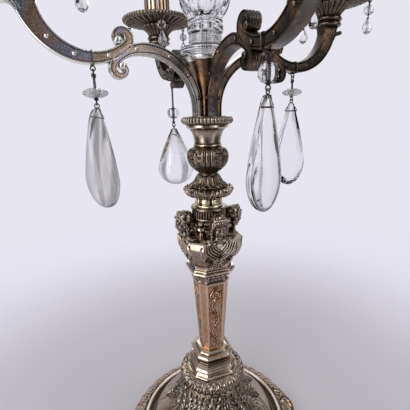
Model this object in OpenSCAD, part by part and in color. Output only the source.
// Four-light girandole: a turned and cast candlestick, a removable branch with
// four scrolled arms, a glass column, and cut-glass pendants that hang on wire.
// All sizes are in millimetres. The origin is the centre of the foot's underside.

/* [Foot] */
// Radius of the foot at its resting edge
foot_r = 85; // [75:0.5:95]
// Height of the foot's upright edge
foot_lip_h = 5; // [3:0.5:8]
// Radius of the raised ring inside the leaf border
foot_ring_r = 67; // [60:0.5:70]
// Height of the raised ring above the table
foot_ring_z = 24; // [20:0.5:30]
// Radius where the dome turns from round to hollow
dome_mid_r = 46; // [42:0.5:50]
// Height where the dome turns from round to hollow
dome_mid_z = 42; // [38:0.5:46]
// Height of the top of the dome, where the collar sits
foot_h = 73; // [65:0.5:85]
// Thickness of the cast foot
foot_wall = 3; // [2:0.25:5]

/* [Stem] */
// Greatest radius of the leaf collar on the dome
collar_r = 29.6; // [27:0.2:34]
// Height of the leaf collar
collar_h = 12; // [9:0.5:16]
// Half width of the plinth's lower moulding
plinth_a = 20.5; // [18:0.25:23]
// Height of the stepped plinth
plinth_h = 22; // [16:0.5:28]
// Half width of the shaft at its foot
shaft_bottom_a = 9.6; // [8:0.2:11]
// Half width of the shaft at its top
shaft_top_a = 13.5; // [12:0.2:15]
// Height of the tapered shaft
shaft_h = 68; // [50:1:90]
// Half width of the shaft's cap moulding
cap_a = 18.6; // [17:0.2:20]
// Height of the cap moulding
cap_h = 14.5; // [10:0.5:18]
// Half width of the bust block at its shoulders
bust_a = 24; // [22:0.25:26]
// Height of the bust block
bust_h = 26.5; // [22:0.5:34]
// Radius of the drum behind the heads
drum_r = 12.5; // [10:0.25:13]
// Height of the drum behind the heads
drum_h = 14.5; // [13:0.5:20]
// Radius of a head
head_r = 6.8; // [5:0.1:7]
// Radius of the fluted ring
ring_r = 15; // [13:0.25:18]
// Height of the fluted ring
ring_h = 10.8; // [8:0.2:14]
// Radius of the gilt spool
spool_r = 10; // [8:0.2:12]
// Height of the gilt spool
spool_h = 9.2; // [6:0.2:14]
// Radius of the leaf-edged disc
disc_r = 19.8; // [17:0.2:24]
// Thickness of the leaf-edged disc
disc_h = 6.5; // [4:0.25:9]
// Height of the leaf bell
bell_h = 11; // [8:0.5:15]
// Radius of the narrow neck between bell and vase
waist_r = 7.2; // [6:0.2:8]

/* [Socket] */
// Greatest radius of the vase below the socket
vase_r = 16.1; // [14:0.2:19]
// Height of the vase
vase_h = 23; // [18:0.5:30]
// Outer radius of the socket's neck
neck_r = 9.9; // [9.6:0.1:12]
// Height of the flared neck
neck_h = 14.3; // [11:0.5:20]
// Radius of the flare under the rim
flare_r = 16.5; // [14:0.25:18]
// Radius of the socket's bore
socket_bore_r = 8.1; // [7.6:0.1:8.4]
// Depth of the socket's bore
socket_depth = 26; // [20:0.5:30]
// Radius of the loose rim
rim_r = 20.1; // [18.5:0.2:24]
// Height of the loose rim
rim_h = 6; // [4.5:0.25:9]

/* [Tie rod] */
// Radius of the rod that holds the stem together
rod_r = 3; // [2:0.1:3.5]
// Length of rod screwed into the vase
rod_thread = 8; // [5:0.5:9]
// Width across the nut's flats
nut_af = 10; // [8:0.5:13]
// Thickness of the nut
nut_h = 5; // [4:0.5:8]
// Radius of the washer
washer_r = 12; // [8:0.5:14]
// Thickness of the washer
washer_h = 1.6; // [1:0.2:3]

/* [Branch] */
// Turn of the branch on the candlestick, in degrees
branch_turn = 4.5; // [0:0.1:90]
// Radius of the disc that carries the arms
seat_r = 15; // [14:0.25:16]
// Thickness of the disc that carries the arms
seat_h = 2.5; // [1.5:0.25:4]
// Radius of the plug below the disc
plug_r = 6.5; // [5:0.1:6.8]
// Length of the plug
plug_len = 22; // [14:0.5:23]
// Distance of an arm's root from the axis
arm_root = 8.1; // [8:0.1:9.5]
// Thickness of an arm at its root
arm_root_t = 5; // [4:0.1:5.4]
// Clearance between the hub and the arms' roots
hub_gap = 0.2; // [0.1:0.05:0.5]
// Thickness of an arm in its own plane
arm_t = 7.4; // [5:0.1:8]
// Thickness of an arm where it meets its cup
post_t = 11.5; // [9:0.1:14]
// Width of an arm at its root
arm_root_w = 8.4; // [7:0.1:10]
// Width of an arm along its scrolls
arm_w = 9.2; // [8:0.2:12]
// Straight rise at an arm's root
arm_rise = 6; // [5:0.5:10]
// Radius of the outward sweep of the lower scroll
sweep_r = 38; // [30:0.5:42]
// Radius of the curve from the sweep down to the small volute
crest_r = 26; // [22:0.5:32]
// Distance of the upper scroll's lowest point from the axis
scroll_x = 79.5; // [76:0.5:86]
// Height of the upper scroll's lowest point above the arm's root
scroll_z = 37; // [34:0.5:40]
// Radius of the upper scroll, towards the candle
scroll_r = 34; // [30:0.5:38]
// Radius of the upper scroll, towards the axis
scroll_in_r = 34; // [30:0.5:38]
// Radius of a volute at its outer turn
volute_r = 4.6; // [4:0.1:5.5]
// Height of the tapered hub between the arms
hub_h = 38; // [30:0.5:44]
// Radius of the hub at its top
hub_top_r = 12; // [9:0.25:13]

/* [Glass column] */
// Radius of the silvered ferrule under the glass
ferrule_r = 13.5; // [12:0.25:16]
// Height of the ferrule
ferrule_h = 4.2; // [3:0.2:7]
// Radius of the pin that holds the glass
pin_r = 2.8; // [2:0.1:3.5]
// Length of the pin that holds the glass
pin_len = 16; // [10:0.5:18]
// Radius of the glass foot
glass_foot_r = 18.6; // [16:0.2:22]
// Radius of the glass knop
glass_knop_r = 13; // [11:0.2:15]
// Greatest radius of the glass column
glass_r = 18.2; // [16:0.2:21]
// Wall of the hollow glass
glass_wall = 2.6; // [2:0.1:4]
// Height of the foot and knop below the hollow part
glass_stem_h = 24; // [22:0.5:28]
// Height of the hollow part
glass_body_h = 122; // [100:1:150]
// Height of the solid glass point
glass_tip_h = 44; // [34:0.5:60]

/* [Candle cups] */
// Distance of a candle from the axis
cup_x = 113.5; // [110:0.25:116]
// Height of the cup's neck ring above the arm's root
cup_z = 70; // [66:0.25:72]
// Radius of the cup's neck ring
cup_ring_r = 10; // [8:0.2:11]
// Height of the cup's neck ring
cup_ring_h = 7; // [5:0.25:9]
// Height of the leaf calyx above its ring
calyx_h = 8.5; // [6:0.25:12]
// Radius of the calyx under the pan
calyx_r = 14.5; // [12:0.25:17]
// Radius of a drip pan
pan_r = 34.5; // [30:0.25:38]
// Rise of a pan from its middle to its rim
pan_rise = 4; // [2:0.25:7]
// Thickness of a pan
pan_t = 2.4; // [1.6:0.1:4]
// Height of a pan's rim above the sheet
pan_rim_h = 3.6; // [2.5:0.1:6]
// Height of a candle nozzle
nozzle_h = 35; // [30:0.5:45]
// Outer radius of a candle nozzle
nozzle_r = 12.8; // [12.3:0.1:14]
// Radius of the candle's bore
candle_r = 11; // [10:0.1:11.4]
// Depth of the candle's bore
candle_depth = 26; // [20:0.5:28]
// Radius of the screw that holds nozzle and pan to the arm
screw_r = 2; // [1.5:0.1:2.5]
// Height of the screw's head
screw_head_h = 2; // [1.5:0.1:3]
// Length of the screw inside the arm
screw_grip = 10; // [6:0.5:12]

/* [Pendants] */
// Radius of the wire
wire_r = 0.45; // [0.35:0.05:0.6]
// Middle radius of a wire ring
link_r = 1.5; // [1.4:0.05:2]
// Radius of the round beads
ball_r = 5.3; // [4:0.1:6]
// Radius of the flat rosettes
rosette_r = 8.2; // [6:0.1:10]
// Thickness of the flat rosettes
rosette_h = 6; // [4:0.1:6.5]
// Distance between the two rings of each link, by arm
link_len = [18.5, 39.4, 21.2, 16.8]; // [12:0.1:45]
// Distance from a link's upper ring to its bead's centre, by arm
bead_at = [11.8, 26.4, 13.6, 7.85]; // [7:0.1:40]
// Length of each large drop, by arm
drop_len = [71, 56, 68, 65.5]; // [40:0.5:90]
// Half width of each large drop, by arm
drop_a = [13.5, 17.6, 15, 15]; // [10:0.1:20]
// Half thickness of each large drop, by arm
drop_t = [6, 17.6, 12, 9]; // [4:0.1:20]
// Turn of each large drop about its wire, by arm, in degrees
drop_turn = [334, 0, 303, 109]; // [0:1:360]
// Radius of a small bead on a pan
bead_r = 4; // [3:0.1:5]
// Greatest radius of a small drop on a pan
small_drop_r = 4.2; // [3:0.1:5.5]
// Length of a small drop on a pan
small_drop_len = 13; // [9:0.25:18]
// Turn of the first small drop on each pan, by arm, in degrees
pan_drop_turn = [87, 49, 64, 75]; // [0:1:120]

/* [Clearances] */
// Gap round the rod, the screws, the pin and the wire in glass
loose_gap = 0.3; // [0.2:0.05:0.4]
// Gap between sleeve and socket, and between plug and sleeve
turn_gap = 0.15; // [0.1:0.05:0.25]
// Gap between two linked wire rings
ring_gap = 0.2; // [0.15:0.05:0.3]

/* [Hidden] */
$fn = 64;
ARMS = 4;
PAN_DROPS = 3;
// How far one shape of a piece reaches into the next
LAP = 1;
QUARTER = 360 / ARMS;

// Heights of the stacked pieces
z_collar = foot_h;
z_plinth = z_collar + collar_h;
z_shaft = z_plinth + plinth_h;
z_cap = z_shaft + shaft_h;
z_bust = z_cap + cap_h;
z_drum = z_bust + bust_h;
z_ring = z_drum + drum_h;
z_spool = z_ring + ring_h;
z_disc = z_spool + spool_h;
z_bell = z_disc + disc_h;
z_vase = z_bell + bell_h;
z_neck = z_vase + vase_h;
z_rim = z_neck + neck_h;

// The loose rim and the branch on it
rim_recess = rim_h / 3;
z_seat = z_rim + rim_h - rim_recess;
z_arm = z_seat + seat_h;
z_ferrule = z_arm + hub_h;
z_glass = z_ferrule + ferrule_h;
sleeve_r = socket_bore_r - turn_gap;
sleeve_bore_r = plug_r + turn_gap;
z_sleeve = z_rim - socket_depth + 2;

// The candle cups
z_cup = z_arm + cup_z;
z_calyx = z_cup + cup_ring_h;
z_pan = z_calyx + calyx_h;
pan_edge_z = z_pan + pan_rise;
nozzle_foot_r = nozzle_r - 3;
nozzle_foot_h = nozzle_h - candle_depth;
nozzle_lip_r = nozzle_r + 2.6;
screw_hole_r = screw_r + loose_gap;
screw_head_r = 2 * screw_r;
z_screw_head = z_pan + pan_t + nozzle_foot_h - screw_head_h - loose_gap;

// The pendants
z_band = z_arm + scroll_z;
hub_foot_r = arm_root - arm_root_t / 2 - hub_gap;
loop_gap = 0.15;
loop_y = arm_w / 2 + loop_gap + wire_r;
loop_z = arm_t / 2 + loop_gap + wire_r;
z_hook = z_band - loop_z - 2 * link_r;
ring_lift = 2 * wire_r + ring_gap;
pan_lug_x = pan_r - 2.5;
z_lug = pan_edge_z - link_r;

SILVER = "#9b938a";
DARK_SILVER = "#6f655d";
COPPER = "#96684a";
GILT = "#c9b489";
STEEL = "#77797c";
GLASS = "#dfe7ea";
SMOKE = "#b9bcc0";

// Points on an arc about c, from angle a0 to a1
function arc(c, r, a0, a1, n = 8) = [
    for (i = [0:n]) let (a = a0 + (a1 - a0) * i / n)
    c + r * [cos(a), sin(a)]
];

// Points on a cubic curve from p to s, pulled by q and t
function curve(p, q, t, s, n = 8) = [
    for (i = [0:n]) let (u = i / n, v = 1 - u)
    v * v * v * p + 3 * v * v * u * q + 3 * v * u * u * t + u * u * u * s
];

// A square of half width a with its corners cut by legs c
function canted(a, c) = [
    [a, -a + c], [a, a - c], [a - c, a], [-a + c, a],
    [-a, a - c], [-a, -a + c], [-a + c, -a], [a - c, -a]
];

// A walk along arcs, as points [x, y, heading, thickness]. Each step is
// [radius at start, radius at end, turn, thickness at start, thickness at end], left turns positive.
ARC_STEP = 8;
function walked(p, step, n) = let (d = step[2] / n) [
    for (i = 0, q = p; i <= n;
        r = step[0] + (step[1] - step[0]) * (i + 0.5) / n,
        h = q[2],
        q = [
            q[0] + 2 * r * sin(abs(d) / 2) * cos(h + d / 2),
            q[1] + 2 * r * sin(abs(d) / 2) * sin(h + d / 2),
            h + d,
            step[3] + (step[4] - step[3]) * (i + 1) / n
        ],
        i = i + 1)
    if (i > 0) q
];

// The steps one after another, with the start point first
function walk(start, steps, i = 0) = i == len(steps)
    ? [start]
    : let (n = ceil(abs(steps[i][2]) / ARC_STEP), part = walked(start, steps[i], n))
        concat([start], walk_rest(part, steps, i));
function walk_rest(part, steps, i) = i + 1 == len(steps)
    ? part
    : concat([for (k = [0:len(part) - 2]) part[k]], walk(part[len(part) - 1], steps, i + 1));

function last(list) = list[len(list) - 1];
function backwards(path) = [
    for (i = [len(path) - 1:-1:0]) let (q = path[i])
    [q[0], q[1], q[2] + 180, q[3]]
];

// The outline of a band along a walk, with a round eye at either end where a radius is given
function side(q, s) = [q[0] - s * q[3] / 2 * sin(q[2]), q[1] + s * q[3] / 2 * cos(q[2])];
function spread(q, r) = asin(q[3] / 2 / r);
function clear_of(q, e, r) = r == 0 || norm([q[0] - e[0], q[1] - e[1]]) > r;
function band(path, eye_a, eye_b) = let (
    a = path[0],
    b = last(path),
    kept = [for (q = path) if (clear_of(q, a, eye_a) && clear_of(q, b, eye_b)) q],
    half_b = eye_b == 0 ? 0 : spread(b, eye_b),
    half_a = eye_a == 0 ? 0 : spread(a, eye_a),
    round_b = eye_b == 0 ? [] : arc([b[0], b[1]], eye_b, b[2] + 180 - half_b, b[2] - 180 + half_b, 18),
    round_a = eye_a == 0 ? [] : arc([a[0], a[1]], eye_a, a[2] - half_a, a[2] - 360 + half_a, 18)
) concat(
    [for (q = kept) side(q, 1)],
    round_b,
    [for (i = [len(kept) - 1:-1:0]) side(kept[i], -1)],
    round_a
);

// A lathe-turned piece with a hole for the tie rod
module turned(outline, bore = rod_r + loose_gap) {
    difference() {
        rotate_extrude() polygon(outline);
        translate([0, 0, -1]) cylinder(r = bore, h = z_rim);
    }
}

// A piece of canted-square section: each level is [z, half width, corner leg]
module stacked(levels, bore = rod_r + loose_gap) {
    n = len(levels);
    points = [for (l = levels) for (p = canted(l[1], l[2])) [p[0], p[1], l[0]]];
    sides = [for (i = [0:n - 2]) for (k = [0:7]) let (m = (k + 1) % 8)
        [8 * i + k, 8 * i + 8 + k, 8 * i + 8 + m, 8 * i + m]];
    difference() {
        polyhedron(points, concat(
            [[for (k = [0:7]) k]], sides, [[for (k = [7:-1:0]) 8 * (n - 1) + k]]));
        translate([0, 0, -1]) cylinder(r = bore, h = z_rim);
    }
}

// A wire ring that stands in the plane of X and Z
module wire_ring() {
    rotate([90, 0, 0]) rotate_extrude() translate([link_r, 0]) circle(r = wire_r, $fn = 24);
}

// Everything that belongs to arm i, counted from 0
module at_arm(i) {
    rotate([0, 0, branch_turn + i * QUARTER]) children();
}

// The base and its stem
module foot() {
    ring_w = 4;
    groove = 3.5;
    dome_foot_r = foot_ring_r - ring_w - 4;
    top_r = collar_r - 2.5;
    border_z = foot_lip_h + 8;
    outer = concat(
        [[foot_r, 0], [foot_r, foot_lip_h]],
        curve([foot_r, foot_lip_h], [foot_r, border_z], [foot_r - 6, border_z + 4],
            [foot_ring_r + 4, foot_ring_z - 3]),
        arc([foot_ring_r, foot_ring_z - 2], 2, 0, 180),
        [[foot_ring_r - ring_w, foot_ring_z - groove]],
        curve([dome_foot_r, foot_ring_z - groove], [dome_foot_r, foot_ring_z + 8],
            [dome_mid_r + 6, dome_mid_z - 5], [dome_mid_r, dome_mid_z]),
        curve([dome_mid_r, dome_mid_z], [dome_mid_r - 9, dome_mid_z + 7.5],
            [top_r + 2, foot_h - 16], [top_r, foot_h])
    );
    inner = concat(
        curve([top_r - foot_wall, foot_h - foot_wall], [top_r - foot_wall + 1, foot_h - 20],
            [dome_mid_r - 12, dome_mid_z + 5], [dome_mid_r - foot_wall, dome_mid_z - foot_wall]),
        curve([dome_mid_r - foot_wall, dome_mid_z - foot_wall], [dome_mid_r + 2, dome_mid_z - 8],
            [dome_foot_r - foot_wall, foot_ring_z + 4], [dome_foot_r - foot_wall, foot_ring_z - 7]),
        [[foot_ring_r - 1, foot_ring_z - 7], [foot_r - foot_wall - 4, foot_lip_h], [foot_r - foot_wall, 0]]
    );
    color(SILVER) difference() {
        rotate_extrude() polygon(concat(outer, [[0, foot_h], [0, foot_h - foot_wall]], inner));
        translate([0, 0, foot_h / 2]) cylinder(r = rod_r + loose_gap, h = foot_h);
    }
}

module foot_collar() {
    top_r = plinth_a + 1.5;
    color(SILVER) turned(concat(
        [[0, z_collar], [collar_r - 3.5, z_collar]],
        arc([collar_r - 5, z_collar + 5.5], 5, -60, 75),
        [[top_r, z_plinth - 1], [top_r, z_plinth], [0, z_plinth]]
    ));
}

module stem_plinth() {
    leg = 0.3;
    neck_a = shaft_bottom_a + 3.2;
    lip_a = plinth_a - 3.4;
    function level(z, a) = [z_plinth + z, a, a * leg * 1.3];
    color(SILVER) stacked([
        level(0, plinth_a - 0.6), level(1.2, plinth_a), level(3.5, plinth_a), level(6.5, plinth_a - 1.6),
        level(7.5, plinth_a - 2), level(8.5, plinth_a - 3.4), level(9.5, plinth_a - 5),
        level(plinth_h - 8, neck_a), level(plinth_h - 6.5, lip_a - 1.4), level(plinth_h - 5.5, lip_a),
        level(plinth_h - 2.5, lip_a), level(plinth_h - 1, lip_a - 1.2), level(plinth_h, neck_a)
    ]);
}

module baluster_shaft() {
    color(SILVER) stacked([
        [z_shaft, shaft_bottom_a, shaft_bottom_a * 0.385],
        [z_cap, shaft_top_a, shaft_top_a * 0.385]
    ]);
}

module shaft_cap() {
    function level(z, a) = [z_cap + z, a, a * 0.4];
    color(SILVER) stacked([
        level(0, shaft_top_a + 0.8), level(1.6, shaft_top_a + 0.8), level(2.4, shaft_top_a - 0.2),
        level(cap_h - 9.5, shaft_top_a + 0.6), level(cap_h - 6, shaft_top_a + 3.2),
        level(cap_h - 4.5, cap_a - 1), level(cap_h - 3.5, cap_a), level(cap_h - 1.5, cap_a),
        level(cap_h, cap_a - 1.2)
    ]);
}

module bust_block() {
    foot_a = cap_a - 2.6;
    color(SILVER) difference() {
        union() {
            stacked([
                [z_bust, foot_a, foot_a * 0.42],
                [z_bust + 4, foot_a + 0.4, foot_a * 0.42],
                [z_bust + bust_h * 0.45, bust_a - 3, bust_a * 0.42],
                [z_bust + bust_h * 0.7, bust_a - 0.4, bust_a * 0.42],
                [z_bust + bust_h - 4, bust_a, bust_a * 0.42],
                [z_drum, bust_a - 1.4, bust_a * 0.42]
            ]);
            translate([0, 0, z_drum - LAP]) cylinder(r = drum_r, h = drum_h + LAP);
        }
        translate([0, 0, z_bust - 1]) cylinder(r = rod_r + loose_gap, h = bust_h + drum_h + 2);
    }
}

// One head with its neck and top-knot, facing +X
module head() {
    neck_h = drum_h - head_r - 1.2;
    neck_x = bust_a - 5.2;
    head_x = bust_a - 1.8;
    knot_r = head_r / 2;
    head_z = z_drum + neck_h + head_r * 0.75;
    union() {
        translate([neck_x, 0, z_drum]) cylinder(r = head_r / 2, h = neck_h + head_r / 2);
        translate([head_x, 0, head_z]) sphere(r = head_r);
        translate([head_x - 1, 0, head_z + head_r]) sphere(r = knot_r);
    }
}

module bust_heads() {
    color(SILVER) for (i = [0:3]) rotate([0, 0, 90 * i]) head();
}

module fluted_ring() {
    color(SILVER) turned(concat(
        [[0, z_ring], [ring_r - 1.4, z_ring]],
        arc([ring_r - 1.4, z_ring + 1.4], 1.4, -90, 90, 6),
        [[ring_r - 0.8, z_ring + 3], [ring_r - 0.4, z_spool - 3]],
        arc([ring_r - 1.4, z_spool - 1.4], 1.4, -60, 90, 6),
        [[0, z_spool]]
    ));
}

module neck_spool() {
    lip = 1.6;
    color(GILT) turned([
        [0, z_spool], [spool_r + lip, z_spool], [spool_r + lip, z_spool + lip],
        [spool_r, z_spool + lip + 0.6], [spool_r, z_disc - lip - 0.6],
        [spool_r + lip, z_disc - lip], [spool_r + lip, z_disc], [0, z_disc]
    ]);
}

module leaf_disc() {
    edge_r = disc_h / 2;
    color(SILVER) turned(concat(
        [[0, z_disc]],
        arc([disc_r - edge_r, z_disc + edge_r], edge_r, -90, 90, 10),
        [[0, z_bell]]
    ));
}

module leaf_bell() {
    foot = disc_r - 5;
    color(SILVER) turned(concat(
        [[0, z_bell], [foot, z_bell]],
        curve([foot, z_bell + 1.2], [foot - 4, z_bell + 3], [waist_r + 4, z_vase - 4],
            [waist_r, z_vase], 10),
        [[0, z_vase]]
    ));
}

module socket_vase() {
    throat = 1.2;
    z_belly = z_vase + vase_h * 0.58;
    color(SILVER) difference() {
        rotate_extrude() polygon(concat(
            [[0, z_vase]],
            curve([waist_r, z_vase], [waist_r + 2, z_vase + 4], [vase_r, z_vase + 6], [vase_r, z_belly]),
            curve([vase_r, z_belly], [vase_r, z_neck - 5], [neck_r + 3, z_neck - 3],
                [neck_r + 0.4, z_neck - 1.5]),
            [[neck_r + 0.4, z_neck], [neck_r, z_neck + throat]],
            curve([neck_r, z_rim - neck_h * 0.55], [neck_r, z_rim - 4], [flare_r - 3, z_rim - 3],
                [flare_r, z_rim - 1.4]),
            [[flare_r, z_rim], [0, z_rim]]
        ));
        translate([0, 0, z_rim - socket_depth]) cylinder(r = socket_bore_r, h = socket_depth + 1);
        translate([0, 0, z_vase - 1]) cylinder(r = rod_r + loose_gap, h = rod_thread + 1);
    }
}

// What holds the stem together, inside
module tie_rod() {
    tail = nut_h + 3;
    z0 = foot_h - foot_wall - washer_h - tail;
    color(STEEL) translate([0, 0, z0]) cylinder(r = rod_r, h = z_vase + rod_thread - z0);
}

module tie_washer() {
    color(STEEL) translate([0, 0, foot_h - foot_wall - washer_h]) difference() {
        cylinder(r = washer_r, h = washer_h);
        translate([0, 0, -1]) cylinder(r = rod_r + loose_gap, h = washer_h + 2);
    }
}

module tie_nut() {
    color(STEEL) translate([0, 0, foot_h - foot_wall - washer_h - nut_h]) difference() {
        cylinder(r = nut_af / sqrt(3), h = nut_h, $fn = 6);
        translate([0, 0, -1]) cylinder(r = rod_r + loose_gap, h = nut_h + 2);
    }
}

// The loose rim with its sleeve
module rim_bobeche() {
    edge_r = (rim_h - 1) / 2;
    color(SILVER) difference() {
        union() {
            rotate_extrude() polygon(concat(
                [[0, z_rim], [flare_r - 0.5, z_rim], [flare_r, z_rim + 1]],
                arc([rim_r - edge_r, z_rim + 1 + edge_r], edge_r, -90, 90, 10),
                [[0, z_rim + rim_h]]
            ));
            translate([0, 0, z_sleeve]) cylinder(r = sleeve_r, h = z_rim - z_sleeve + LAP);
        }
        translate([0, 0, z_seat]) cylinder(r = seat_r + loose_gap, h = rim_h);
        translate([0, 0, z_sleeve - 1]) cylinder(r = sleeve_bore_r, h = z_rim);
    }
}

// The branch
module branch_plug() {
    color(DARK_SILVER) union() {
        translate([0, 0, z_seat]) cylinder(r = seat_r, h = seat_h);
        translate([0, 0, z_seat - plug_len]) cylinder(r = plug_r, h = plug_len + LAP);
    }
}

module branch_hub() {
    color(COPPER) rotate_extrude() polygon(concat(
        [[0, z_arm], [hub_foot_r, z_arm]],
        curve([hub_foot_r, z_arm + arm_rise], [hub_foot_r + 0.2, z_arm + hub_h * 0.5],
            [hub_top_r - 4, z_arm + hub_h * 0.75], [hub_top_r, z_ferrule]),
        [[0, z_ferrule]]
    ));
}

// The side view of an arm: X is the distance from the axis, Y the height above its root
module arm_outline() {
    volute_t = arm_t * 0.35;
    neck_t = arm_t * 0.65;
    eye = volute_t * 0.72;
    sweep = [sweep_r, sweep_r, -90, arm_root_t, arm_t];
    crest = [crest_r, crest_r, -50, arm_t, neck_t];
    small = [volute_r + 0.8, volute_r - 2, -290, neck_t, volute_t];
    inward = [scroll_in_r, scroll_in_r, -40, arm_t, arm_t - 1];
    large = [volute_r + 1.2, volute_r - 2.2, -290, arm_t - 1, volute_t];
    rise = [scroll_r, scroll_r, 76, arm_t, post_t];
    lower = walk([arm_root, arm_rise, 90, arm_root_t], [sweep, crest, small]);
    inner = walk([scroll_x, scroll_z, 180, arm_t], [inward, large]);
    outer = walk([scroll_x, scroll_z, 0, arm_t], [rise]);
    post = [[cup_x, cup_z, 90, 2 * cup_ring_r - 5]];
    polygon(band(concat([[arm_root, 0, 90, arm_root_t]], lower), 0, eye));
    polygon(band(concat(backwards(inner), [for (i = [1:len(outer) - 1]) outer[i]], post), eye, 0));
    twig_outline();
}

// The small curl on the outer side of the post
module twig_outline() {
    twig_t = 3;
    tip_t = 2;
    twig_x = cup_x + 3;
    twig_z = cup_z - 10;
    polygon(band(walk([twig_x, twig_z, 75, twig_t], [[9, 5, -85, twig_t, tip_t]]), 0, tip_t * 0.65));
}

// The plan of an arm: narrow at its root, full width along its scrolls
module arm_plan() {
    root_x = arm_root + arm_root_t / 2;
    full_x = arm_root + sweep_r * 0.6;
    far_x = cup_x + 40;
    root_y = arm_root_w / 2;
    full_y = arm_w / 2;
    polygon([
        [0, -root_y], [root_x, -root_y], [full_x, -full_y], [far_x, -full_y],
        [far_x, full_y], [full_x, full_y], [root_x, root_y], [0, root_y]
    ]);
}

module arm(i) {
    color(i == 3 ? DARK_SILVER : SILVER) at_arm(i) translate([0, 0, z_arm]) difference() {
        intersection() {
            rotate([90, 0, 0]) translate([0, 0, -arm_w]) linear_extrude(2 * arm_w) arm_outline();
            translate([0, 0, -1]) linear_extrude(cup_z + 2) arm_plan();
        }
        translate([cup_x, 0, cup_z - screw_grip - 1]) cylinder(r = screw_hole_r, h = screw_grip + 2);
    }
}

module arm_1() arm(0);
module arm_2() arm(1);
module arm_3() arm(2);
module arm_4() arm(3);

// The glass column in the middle
module column_ferrule() {
    color(SILVER) union() {
        rotate_extrude() polygon([
            [0, z_ferrule], [hub_top_r, z_ferrule], [ferrule_r, z_ferrule + 1.2],
            [ferrule_r, z_glass - 0.8], [ferrule_r - 0.8, z_glass], [0, z_glass]
        ]);
        translate([0, 0, z_glass - LAP]) cylinder(r = pin_r, h = pin_len + LAP);
    }
}

module glass_column() {
    z_body = z_glass + glass_stem_h;
    z_tip = z_body + glass_body_h;
    neck = glass_knop_r - 3;
    tip_r = 5;
    z_knop = z_body - 6;
    z_full = z_body + 18;
    z_middle = z_body + glass_body_h * 0.5;
    z_end = z_tip + glass_tip_h;
    inner_r = glass_r - glass_wall;
    outer = concat(
        [[0, z_glass], [glass_foot_r - 2, z_glass]],
        [[glass_foot_r, z_glass + 2], [glass_foot_r, z_glass + 4]],
        curve([glass_foot_r - 0.6, z_glass + 5], [neck + 3, z_glass + 6], [neck + 1, z_glass + 7],
            [neck, z_glass + 9]),
        curve([neck, z_knop - 5], [glass_knop_r, z_knop - 4], [glass_knop_r, z_knop - 1],
            [glass_knop_r, z_knop]),
        curve([glass_knop_r, z_knop], [glass_knop_r, z_knop + 2], [neck + 2.2, z_body - 3],
            [neck + 2, z_body - 1]),
        curve([neck + 2, z_body], [glass_r - 1, z_body + 6], [glass_r, z_body + 9], [glass_r, z_full], 10),
        curve([glass_r, z_full], [glass_r, z_middle], [tip_r + 3, z_tip - 30], [tip_r, z_tip], 14),
        arc([tip_r - 1, z_tip + 6], 6, -60, 60, 8),
        curve([tip_r + 1, z_tip + 12], [tip_r + 3, z_tip + 20], [2, z_end - 14], [0, z_end], 10)
    );
    inner = concat(
        [[0, z_body + 2]],
        curve([pin_r + 1, z_body + 2], [inner_r - 2, z_body + 6], [inner_r, z_body + 10],
            [inner_r, z_full], 10),
        curve([inner_r, z_full], [inner_r, z_middle], [tip_r, z_tip - 36], [1, z_tip - 8], 14),
        [[0, z_tip - 8]]
    );
    color(GLASS) difference() {
        rotate_extrude() polygon(outer);
        rotate_extrude() polygon(inner);
        translate([0, 0, z_glass - 1]) cylinder(r = pin_r + loose_gap, h = glass_stem_h + 5);
    }
}

// The candle cups
module cup_calyxes() {
    waist = cup_ring_r - 2.4;
    outline = concat(
        [[0, z_cup], [cup_ring_r - 1, z_cup]],
        arc([cup_ring_r - 1.2, z_cup + 1.2], 1.2, -80, 80, 6),
        [[cup_ring_r - 1.6, z_cup + cup_ring_h / 2]],
        arc([cup_ring_r - 1.6, z_calyx - 1.6], 1.6, -80, 80, 6),
        curve([waist, z_calyx + 0.4], [waist, z_calyx + 4], [calyx_r - 3, z_pan - 2], [calyx_r, z_pan]),
        [[0, z_pan]]
    );
    color(DARK_SILVER) for (i = [0:ARMS - 1]) at_arm(i) translate([cup_x, 0, 0]) difference() {
        rotate_extrude() polygon(outline);
        translate([0, 0, z_cup - 1]) cylinder(r = screw_hole_r, h = cup_ring_h + calyx_h + 2);
    }
}

// A pan's half outline, and the lugs that its drops hang on
module drip_pan(i) {
    flat_r = calyx_r + 0.5;
    rim_t = 2;
    under = [[0, z_pan], [flat_r, z_pan], [pan_r - 3, pan_edge_z], [pan_r - rim_t, pan_edge_z]];
    rim = arc([pan_r - rim_t, pan_edge_z + pan_rim_h / 2], pan_rim_h / 2, -90, 90, 8);
    over = [[pan_r - 4, pan_edge_z + pan_t], [flat_r, z_pan + pan_t], [0, z_pan + pan_t]];
    color(SILVER) at_arm(i) translate([cup_x, 0, 0]) difference() {
        union() {
            rotate_extrude() polygon(concat(under, rim, over));
            for (k = [0:PAN_DROPS - 1])
                rotate([0, 0, pan_drop_turn[i] + k * 360 / PAN_DROPS])
                    translate([pan_lug_x, 0, z_lug + wire_r]) wire_ring();
        }
        translate([0, 0, z_pan - 1]) cylinder(r = screw_hole_r, h = pan_t + 2);
    }
}

module drip_pan_1() drip_pan(0);
module drip_pan_2() drip_pan(1);
module drip_pan_3() drip_pan(2);
module drip_pan_4() drip_pan(3);

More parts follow.
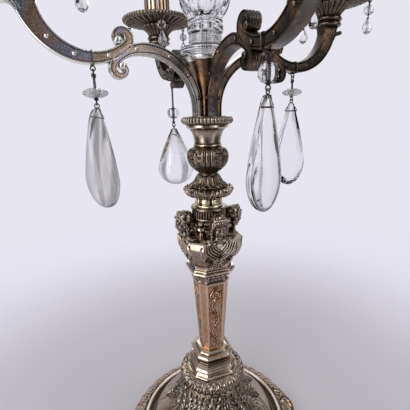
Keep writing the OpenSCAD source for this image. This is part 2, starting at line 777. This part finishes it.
module candle_nozzle(i) {
    z0 = z_pan + pan_t;
    z1 = z0 + nozzle_h;
    outline = concat(
        [[0, z0], [nozzle_foot_r + 2, z0], [nozzle_foot_r + 2, z0 + 1.5]],
        curve([nozzle_foot_r, z0 + 3], [nozzle_foot_r - 2, z0 + 5], [nozzle_r, z0 + nozzle_foot_h - 3],
            [nozzle_r, z0 + nozzle_foot_h]),
        curve([nozzle_r, z0 + nozzle_foot_h + 2], [nozzle_r - 0.4, z0 + nozzle_h * 0.6],
            [nozzle_r - 0.4, z1 - 6], [nozzle_r + 0.4, z1 - 4]),
        arc([nozzle_lip_r - 1.5, z1 - 1.5], 1.5, -90, 90, 8),
        [[0, z1]]
    );
    color(SILVER) at_arm(i) translate([cup_x, 0, 0]) difference() {
        rotate_extrude() polygon(outline);
        translate([0, 0, z1 - candle_depth]) cylinder(r = candle_r, h = candle_depth + 1);
        translate([0, 0, z0 - 1]) cylinder(r = screw_hole_r, h = nozzle_foot_h + 2);
        translate([0, 0, z_screw_head]) cylinder(r = screw_head_r + loose_gap, h = candle_depth);
    }
}

module candle_nozzle_1() candle_nozzle(0);
module candle_nozzle_2() candle_nozzle(1);
module candle_nozzle_3() candle_nozzle(2);
module candle_nozzle_4() candle_nozzle(3);

module nozzle_screws() {
    z0 = z_cup - screw_grip;
    color(STEEL) for (i = [0:ARMS - 1]) at_arm(i) translate([cup_x, 0, 0]) union() {
        translate([0, 0, z0]) cylinder(r = screw_r, h = z_screw_head - z0 + LAP);
        translate([0, 0, z_screw_head]) cylinder(r = screw_head_r, h = screw_head_h);
    }
}

// The pendants
module hook_side(y) {
    translate([0, y, -loop_z]) cylinder(r = wire_r, h = 2 * loop_z, $fn = 24);
}

module hook_bar(z) {
    translate([0, -loop_y, z]) rotate([-90, 0, 0]) cylinder(r = wire_r, h = 2 * loop_y, $fn = 24);
}

module pendant_hooks() {
    color(STEEL) for (i = [0:ARMS - 1]) at_arm(i) translate([scroll_x, 0, z_band]) union() {
        for (s = [-1, 1]) {
            hook_side(s * loop_y);
            hook_bar(s * loop_z);
            for (t = [-1, 1]) translate([0, s * loop_y, t * loop_z]) sphere(r = wire_r, $fn = 24);
        }
        translate([0, 0, -loop_z - link_r]) wire_ring();
    }
}

// A straight wire with a ring at each end, through its bead
module pendant_link(i) {
    top = ring_lift - 2 * link_r;
    foot = 2 * link_r - link_len[i];
    color(STEEL) at_arm(i) translate([scroll_x, 0, z_hook]) union() {
        translate([0, 0, ring_lift - link_r]) rotate([0, 0, 90]) wire_ring();
        translate([0, 0, foot]) cylinder(r = wire_r, h = top - foot, $fn = 24);
        translate([0, 0, -link_len[i] + link_r]) rotate([0, 0, 90]) wire_ring();
    }
}

module pendant_link_1() pendant_link(0);
module pendant_link_2() pendant_link(1);
module pendant_link_3() pendant_link(2);
module pendant_link_4() pendant_link(3);

module bead_at_arm(i) {
    at_arm(i) translate([scroll_x, 0, z_hook - bead_at[i]]) difference() {
        children();
        translate([0, 0, -rosette_r]) cylinder(r = wire_r + ring_gap / 2, h = 2 * rosette_r, $fn = 24);
    }
}

module ball() {
    sphere(r = ball_r);
}

module rosette() {
    edge = rosette_h / 4;
    rotate_extrude() polygon([
        [0, -rosette_h / 2], [rosette_r * 0.45, -rosette_h / 2], [rosette_r, -edge / 2],
        [rosette_r, edge / 2], [rosette_r * 0.45, rosette_h / 2], [0, rosette_h / 2]
    ]);
}

module pendant_bead_1() color(GLASS) bead_at_arm(0) rosette();
module pendant_bead_2() color(GLASS) bead_at_arm(1) ball();
module pendant_bead_3() color(GLASS) bead_at_arm(2) rosette();
module pendant_bead_4() color(GLASS) bead_at_arm(3) ball();

// Width of a drop along its length u, from 0 at the wire to 1 at the foot, widest at drop_full
drop_full = 0.7;
drop_neck = 0.14;
function drop_swell(u) = u < drop_full
    ? drop_neck + (1 - drop_neck) * (sin(90 * u / drop_full) + u / drop_full) / 2
    : sqrt(max(0, 1 - pow((u - drop_full) / (1 - drop_full), 2)));

// A long drop of length l, with a full front and a flatter back
module flat_drop(l, a, t) {
    rings = 14;
    sides = 20;
    back = 0.4;
    tip = 1.6;
    points = [
        for (j = [0:rings]) let (u = j / rings, s = max(drop_swell(u), tip / a))
        for (k = [0:sides - 1]) let (b = 360 * k / sides, y = t * pow(s, 0.8) * sin(b))
        [a * s * cos(b), y < 0 ? y * back : y, -l * u]
    ];
    sidesets = [
        for (j = [0:rings - 1]) for (k = [0:sides - 1])
        let (m = (k + 1) % sides, p = sides * j, q = p + sides)
        each [[p + k, p + m, q + m], [p + k, q + m, q + k]]
    ];
    polyhedron(points, concat(
        [[for (k = [sides - 1:-1:0]) k]], sidesets, [[for (k = [0:sides - 1]) sides * rings + k]]));
}

module round_drop(l, r) {
    tip = 1.6;
    n = 24;
    rotate_extrude() polygon(concat(
        [[0, 0]], [for (j = [0:n]) [max(r * drop_swell(j / n), j < n ? tip : 0), -l * j / n]]));
}

// A drop with the ring that it hangs by
module pendant_drop(i) {
    z_axis = z_hook - link_len[i];
    z_top = ring_lift - 2 * link_r;
    color(i == 2 ? SMOKE : GLASS) at_arm(i) translate([scroll_x, 0, z_axis]) union() {
        translate([0, 0, ring_lift - link_r]) wire_ring();
        translate([0, 0, z_top]) rotate([0, 0, drop_turn[i]]) children();
    }
}

module pendant_drop_1() pendant_drop(0) flat_drop(drop_len[0], drop_a[0], drop_t[0]);
module pendant_drop_2() pendant_drop(1) round_drop(drop_len[1], drop_a[1]);
module pendant_drop_3() pendant_drop(2) flat_drop(drop_len[2], drop_a[2], drop_t[2]);
module pendant_drop_4() pendant_drop(3) flat_drop(drop_len[3], drop_a[3], drop_t[3]);

// A small bead and drop on one wire, under the rim of a pan
module pan_drop(i, k) {
    z_axis = z_lug + wire_r - link_r;
    z_bead = ring_lift - 2 * link_r - bead_r;
    z_drop = z_bead - bead_r - 1;
    wire_top = ring_lift - 2 * link_r;
    wire_foot = z_drop - 2;
    color(GLASS) at_arm(i) translate([cup_x, 0, 0])
        rotate([0, 0, pan_drop_turn[i] + k * 360 / PAN_DROPS]) translate([pan_lug_x, 0, z_axis]) union() {
            translate([0, 0, ring_lift - link_r]) rotate([0, 0, 90]) wire_ring();
            translate([0, 0, wire_foot]) cylinder(r = wire_r, h = wire_top - wire_foot, $fn = 24);
            translate([0, 0, z_bead]) sphere(r = bead_r, $fn = 32);
            translate([0, 0, z_drop]) round_drop(small_drop_len, small_drop_r);
        }
}

module pan_drop_1a() pan_drop(0, 0);
module pan_drop_1b() pan_drop(0, 1);
module pan_drop_1c() pan_drop(0, 2);
module pan_drop_2a() pan_drop(1, 0);
module pan_drop_2b() pan_drop(1, 1);
module pan_drop_2c() pan_drop(1, 2);
module pan_drop_3a() pan_drop(2, 0);
module pan_drop_3b() pan_drop(2, 1);
module pan_drop_3c() pan_drop(2, 2);
module pan_drop_4a() pan_drop(3, 0);
module pan_drop_4b() pan_drop(3, 1);
module pan_drop_4c() pan_drop(3, 2);

foot();
foot_collar();
stem_plinth();
baluster_shaft();
shaft_cap();
bust_block();
bust_heads();
fluted_ring();
neck_spool();
leaf_disc();
leaf_bell();
socket_vase();
tie_rod();
tie_washer();
tie_nut();
rim_bobeche();
branch_plug();
branch_hub();
arm_1();
arm_2();
arm_3();
arm_4();
column_ferrule();
glass_column();
cup_calyxes();
drip_pan_1();
drip_pan_2();
drip_pan_3();
drip_pan_4();
candle_nozzle_1();
candle_nozzle_2();
candle_nozzle_3();
candle_nozzle_4();
nozzle_screws();
pendant_hooks();
pendant_link_1();
pendant_link_2();
pendant_link_3();
pendant_link_4();
pendant_bead_1();
pendant_bead_2();
pendant_bead_3();
pendant_bead_4();
pendant_drop_1();
pendant_drop_2();
pendant_drop_3();
pendant_drop_4();
pan_drop_1a();
pan_drop_1b();
pan_drop_1c();
pan_drop_2a();
pan_drop_2b();
pan_drop_2c();
pan_drop_3a();
pan_drop_3b();
pan_drop_3c();
pan_drop_4a();
pan_drop_4b();
pan_drop_4c();
